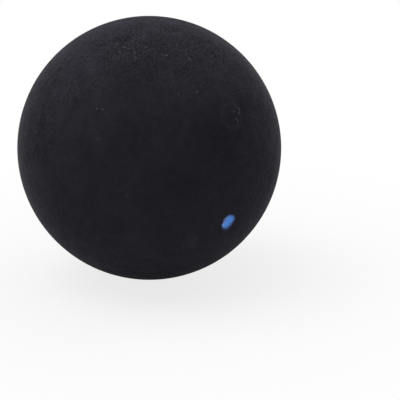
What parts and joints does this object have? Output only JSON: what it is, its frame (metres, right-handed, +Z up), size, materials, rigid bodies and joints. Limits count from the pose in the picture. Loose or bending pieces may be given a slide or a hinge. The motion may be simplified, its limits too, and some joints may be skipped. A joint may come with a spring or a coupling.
{
  "type": "squash ball",
  "caption": "Hollow matt black rubber ball of cemented half shells, with a small blue paint dot that marks its speed, for playing squash.",
  "frame": {"origin": "centre of the ball", "axes": "+Y along the moulding axis, square to the seam, from the half shell with the dot towards the other half; +Z up as the ball is pictured"},
  "size_m": [0.04, 0.04, 0.04],
  "materials": {
    "shell_rubber": "matte",
    "bond_cement": "matte",
    "dot_paint": "satin",
    "print_ink": "matte"
  },
  "bodies": {
    "root": {"front_half_shell": "shell_rubber", "rear_half_shell": "shell_rubber", "seam_bond": "bond_cement", "speed_dot": "dot_paint"}
  },
  "joints": []
}
